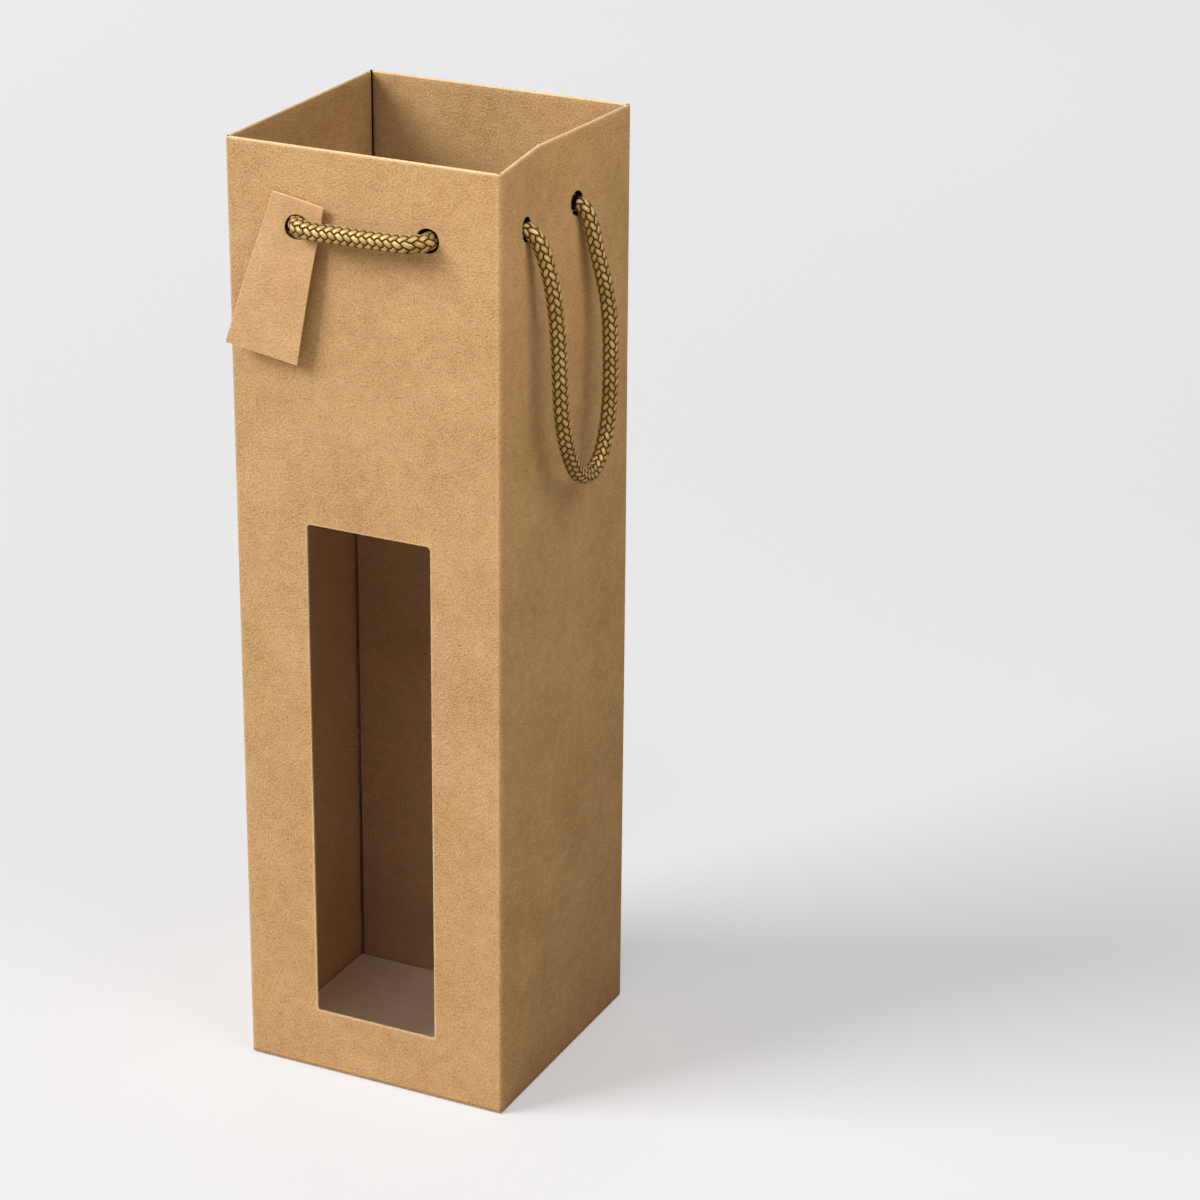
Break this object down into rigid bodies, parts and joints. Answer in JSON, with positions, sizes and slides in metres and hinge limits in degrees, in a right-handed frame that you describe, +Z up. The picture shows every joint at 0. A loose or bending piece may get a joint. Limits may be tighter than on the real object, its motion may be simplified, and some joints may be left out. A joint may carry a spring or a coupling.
{
  "type": "bottle carrier",
  "caption": "Tall square kraft-board carrier for a bottle, open at the top, with a tall window in its front, braided cord loops at its sides and a swing tag.",
  "frame": {"origin": "middle of the base, on the surface that the carrier stands on", "axes": "+Z up towards the mouth, -Y out of the front wall with the window, +X towards the pushed-in side wall"},
  "size_m": [0.1237, 0.107, 0.34],
  "materials": {
    "kraft_board": "uncoated brown kraft board, warm tan, fine fibre speckle",
    "kraft_inside": "unbleached inner side of the board, darker brown, matt",
    "base_card": "recycled card, greyish brown, matt",
    "cord": "braided khaki-gold cord, satin yarns",
    "tag_card": "thin kraft card with pale cut edges"
  },
  "bodies": {
    "root": {"front_wall": "kraft_board", "right_wall": "kraft_board", "back_wall": "kraft_board", "left_wall": "kraft_board", "seam_flap": "kraft_inside", "base_flap_front": "kraft_board", "base_flap_back": "kraft_board", "base_flap_left": "kraft_inside", "base_flap_right": "kraft_inside", "hem_front": "kraft_inside", "hem_right": "kraft_inside", "hem_back": "kraft_inside", "hem_left": "kraft_inside", "spacer_face": "kraft_inside", "spacer_side_left": "kraft_inside", "spacer_side_right": "kraft_inside", "spacer_top": "kraft_inside", "spacer_tab": "kraft_inside", "cord_front": "cord", "cord_corner_right": "cord", "cord_corner_left": "cord", "cord_anchor_right": "cord", "cord_anchor_left": "cord", "knot_right": "cord", "knot_left": "cord", "cord_end_right": "cord", "cord_end_left": "cord"},
    "loop_right": {"cord_loop_right": "cord"},
    "loop_left": {"cord_loop_left": "cord"},
    "swing_tag": {"tag": "tag_card"},
    "base_insert": {"base_board": "base_card"}
  },
  "joints": [
    {"name": "loop_right_swing", "type": "hinge", "parent": "root", "child": "loop_right", "pos_m": [0.0555, -0.0093, 0.316], "axis": [0, -1, 0], "range_deg": [0, 175]},
    {"name": "loop_left_swing", "type": "hinge", "parent": "root", "child": "loop_left", "pos_m": [-0.057, -0.0093, 0.316], "axis": [0, 1, 0], "range_deg": [0, 175]},
    {"name": "tag_swing", "type": "hinge", "parent": "root", "child": "swing_tag", "pos_m": [-0.0239, -0.0497, 0.3139], "axis": [0, -1, 0], "range_deg": [-90, 60]},
    {"name": "base_board_lift", "type": "slide", "parent": "root", "child": "base_insert", "axis": [0, 0, 1], "range_m": [0, 0.235]}
  ]
}
